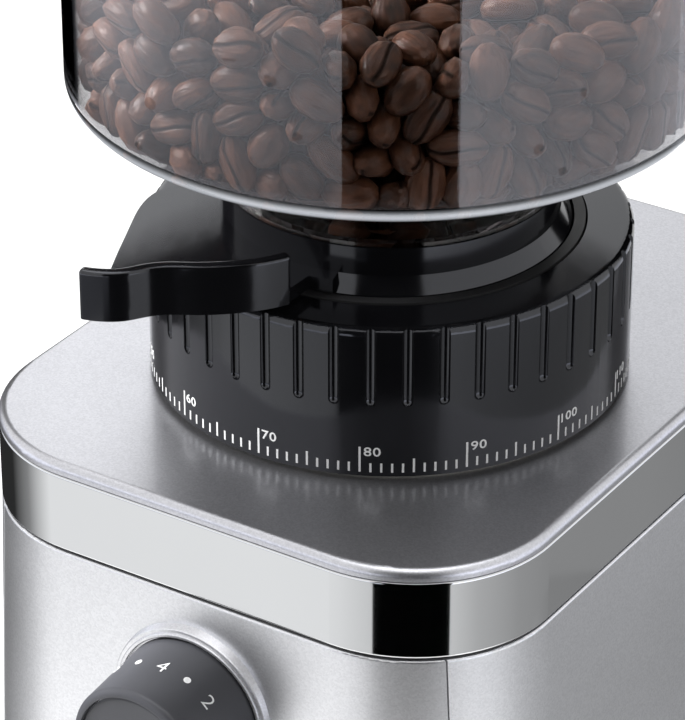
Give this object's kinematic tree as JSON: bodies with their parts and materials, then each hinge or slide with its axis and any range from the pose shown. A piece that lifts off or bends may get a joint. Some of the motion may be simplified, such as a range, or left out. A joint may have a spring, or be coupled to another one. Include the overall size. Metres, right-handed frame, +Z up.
{
  "type": "burr coffee grinder",
  "caption": "Upright electric burr coffee grinder: bean hopper with shut-off lever, numbered grind ring, portion dial with start button and a pull-out grounds container.",
  "frame": {"origin": "centre of the overall plan box, on the plane that the feet stand on", "axes": "+Z up, -Y towards the front with the dial and the grounds container, +X to the right seen from the front"},
  "size_m": [0.1302, 0.185, 0.3143],
  "materials": {
    "silver_paint": "satin metallic silver paint",
    "chrome_trim": "bright chrome plating",
    "black_moulding": "fine-textured black moulding",
    "gloss_black": "polished black",
    "smoke_clear": "clear smoke-tinted",
    "dial_grey": "satin dark grey",
    "nylon": "natural nylon",
    "tool_steel": "ground steel",
    "zinc_steel": "zinc-plated steel",
    "plate_metal": "plain rolled sheet",
    "magnet": "dark sintered metal",
    "copper": "enamelled copper",
    "carbon": "pressed carbon",
    "board_green": "varnished circuit board",
    "rubber": "matte rubber"
  },
  "bodies": {
    "housing": {"base_plate": "black_moulding", "base_screws": "zinc_steel", "bay_liner": "black_moulding", "board_components": "black_moulding", "cable_gland": "black_moulding", "chamber_screws": "zinc_steel", "chrome_band": "chrome_trim", "control_board": "board_green", "front_shell": "silver_paint", "gland_nut": "black_moulding", "glide_washer": "nylon", "grind_chamber": "black_moulding", "hopper_seat": "black_moulding", "hopper_switch": "black_moulding", "lower_bearing": "zinc_steel", "motor_brushes": "carbon", "motor_can": "zinc_steel", "motor_lower_bell": "zinc_steel", "motor_magnets": "magnet", "motor_screws": "zinc_steel", "motor_upper_bell": "zinc_steel", "mounting_plate": "plate_metal", "outlet_chute": "black_moulding", "plate_screws": "zinc_steel", "rear_shell": "silver_paint", "rubber_feet": "rubber", "selector_switch": "black_moulding", "support_pillars": "black_moulding", "top_cover": "silver_paint", "top_frame": "black_moulding", "upper_bearing": "zinc_steel"},
    "ring": {"adjust_ring": "gloss_black"},
    "carrier": {"burr_carrier": "black_moulding", "outer_burr": "tool_steel", "burr_screws": "zinc_steel", "carrier_pins": "zinc_steel"},
    "spindle": {"drive_shaft": "tool_steel", "drive_gear": "nylon", "sweeper": "black_moulding", "inner_burr": "tool_steel", "burr_bolt": "tool_steel"},
    "rotor": {"rotor_core": "magnet", "rotor_windings": "copper", "commutator": "copper", "motor_shaft": "tool_steel", "pinion": "tool_steel"},
    "hopper": {"hopper_bowl": "smoke_clear"},
    "lever": {"shutter_lever": "gloss_black", "shutter_disc": "black_moulding", "shutter_pins": "zinc_steel"},
    "lid": {"hopper_lid": "smoke_clear", "lid_seal": "rubber", "lid_knob": "gloss_black"},
    "knob": {"timer_knob": "dial_grey", "selector_shaft": "zinc_steel"},
    "button": {"start_button": "dial_grey"},
    "container": {"grounds_container": "smoke_clear", "container_lid": "smoke_clear", "container_grip": "gloss_black"}
  },
  "joints": [
    {"name": "ring_turn", "type": "hinge", "parent": "housing", "child": "ring", "pos_m": [0, -0.00297, 0.171], "axis": [0, 0, 1], "range_deg": [-172, 172]},
    {"name": "carrier_feed", "type": "slide", "parent": "housing", "child": "carrier", "axis": [0, 0, 1], "range_m": [-0.00075, 0.00075]},
    {"name": "spindle_spin", "type": "hinge", "parent": "housing", "child": "spindle", "pos_m": [0, -0.00297, 0.11], "axis": [0, 0, 1], "continuous": true},
    {"name": "rotor_spin", "type": "hinge", "parent": "housing", "child": "rotor", "pos_m": [0, 0.03903, 0.11], "axis": [0, 0, 1], "continuous": true},
    {"name": "hopper_lift", "type": "slide", "parent": "housing", "child": "hopper", "axis": [0, 0, 1], "range_m": [0, 0.08]},
    {"name": "lever_turn", "type": "hinge", "parent": "hopper", "child": "lever", "pos_m": [0, -0.00297, 0.2119], "axis": [0, 0, 1], "range_deg": [-60, 0]},
    {"name": "lid_lift", "type": "slide", "parent": "hopper", "child": "lid", "axis": [0, 0, 1], "range_m": [0, 0.06]},
    {"name": "dial_turn", "type": "hinge", "parent": "housing", "child": "knob", "pos_m": [0, -0.07341, 0.1261], "axis": [0, 1, 0], "range_deg": [-44, 176]},
    {"name": "start_press", "type": "slide", "parent": "knob", "child": "button", "axis": [0, 1, 0], "range_m": [0, 0.002], "stiffness_N_per_m": 400},
    {"name": "container_pull", "type": "slide", "parent": "housing", "child": "container", "axis": [0, -1, 0], "range_m": [0, 0.09]}
  ],
  "couplings": [
    {"joint": "carrier_feed", "follows": "ring_turn", "m_per_rad": -0.0002387},
    {"joint": "spindle_spin", "follows": "rotor_spin", "ratio": -0.33333}
  ]
}
